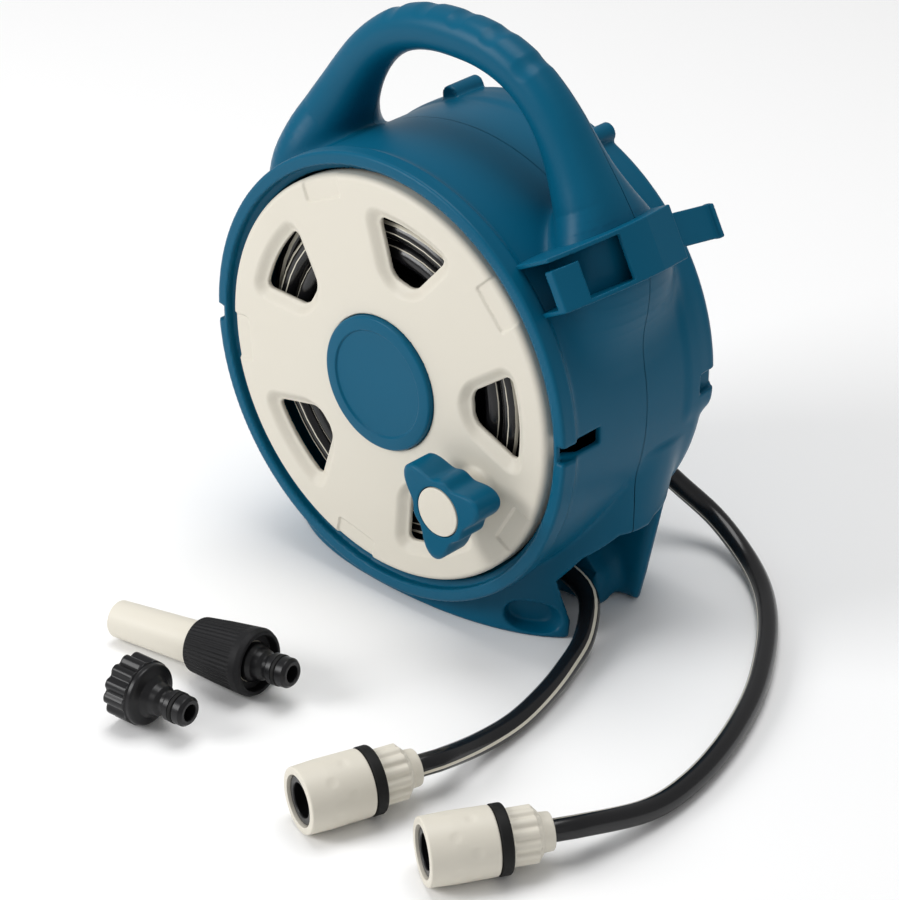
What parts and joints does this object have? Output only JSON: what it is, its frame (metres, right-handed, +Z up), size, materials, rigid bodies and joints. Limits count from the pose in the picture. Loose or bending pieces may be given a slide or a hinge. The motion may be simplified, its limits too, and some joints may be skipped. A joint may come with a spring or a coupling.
{
  "type": "hose reel",
  "caption": "Compact garden hose reel: hose wound on a crank-turned drum in a casing with a carrying handle, with quick connectors, spray nozzle and tap adaptor.",
  "frame": {"origin": "on the casing's underside, below the reel's axis", "axes": "-Y out of the front of the reel, +Z up, so +X is to the right seen from the front"},
  "size_m": [0.3822, 0.369, 0.3335],
  "materials": {
    "teal_plastic": "satin moulded polypropylene",
    "cream_plastic": "fine matt moulding",
    "black_plastic": "satin moulded polypropylene",
    "grip_rubber": "soft matt overmould",
    "seal_rubber": "matt rubber",
    "hose_pvc": "glossy soft PVC",
    "steel": "zinc plated"
  },
  "bodies": {
    "casing": {"front_shell": "teal_plastic", "rear_shell": "teal_plastic", "rear_bush": "black_plastic", "inlet_elbow": "black_plastic", "inlet_seal": "seal_rubber", "inlet_nut": "black_plastic", "shell_screw_1": "steel", "shell_screw_2": "steel", "shell_screw_3": "steel", "shell_screw_4": "steel", "elbow_screw_1": "steel", "elbow_screw_2": "steel", "outlet_hose": "hose_pvc", "tail_hose": "hose_pvc", "connector_body_1": "black_plastic", "connector_body_2": "black_plastic", "connector_nut_1": "cream_plastic", "connector_nut_2": "cream_plastic", "connector_seal_1": "seal_rubber", "connector_seal_2": "seal_rubber", "nozzle_stem": "black_plastic", "nozzle_seal": "seal_rubber", "tap_adaptor": "black_plastic", "tap_washer": "seal_rubber", "tap_seal": "seal_rubber"},
    "reel": {"reel_plate": "cream_plastic", "reel_drum": "black_plastic", "centre_cap": "teal_plastic", "water_axle": "black_plastic", "drum_elbow": "black_plastic", "wound_hose": "hose_pvc", "hose_core": "hose_pvc", "drum_screw_1": "steel", "drum_screw_2": "steel", "drum_screw_3": "steel", "knob_spindle": "steel"},
    "knob": {"crank_knob": "teal_plastic", "knob_cap": "cream_plastic"},
    "sleeve_1": {"connector_sleeve_1": "cream_plastic", "connector_ring_1": "seal_rubber"},
    "sleeve_2": {"connector_sleeve_2": "cream_plastic", "connector_ring_2": "seal_rubber"},
    "nozzle": {"nozzle_barrel": "cream_plastic", "nozzle_grip": "grip_rubber"}
  },
  "joints": [
    {"name": "reel_spin", "type": "hinge", "parent": "casing", "child": "reel", "pos_m": [0, 0, 0.138], "axis": [0, -1, 0], "continuous": true},
    {"name": "knob_spin", "type": "hinge", "parent": "reel", "child": "knob", "pos_m": [0.07015, -0.085, 0.0975], "axis": [0, -1, 0], "continuous": true},
    {"name": "sleeve_slide_1", "type": "slide", "parent": "casing", "child": "sleeve_1", "axis": [0.3404, 0.9403, 0], "range_m": [0, 0.0035], "stiffness_N_per_m": 600, "springref_m": -0.003},
    {"name": "sleeve_slide_2", "type": "slide", "parent": "casing", "child": "sleeve_2", "axis": [0.5195, 0.8545, 0], "range_m": [0, 0.0035], "stiffness_N_per_m": 600, "springref_m": -0.003},
    {"name": "nozzle_twist", "type": "hinge", "parent": "casing", "child": "nozzle", "pos_m": [-0.08, -0.19, 0.01106], "axis": [-0.989, -0.1214, -0.085], "range_deg": [-540, 0]}
  ]
}
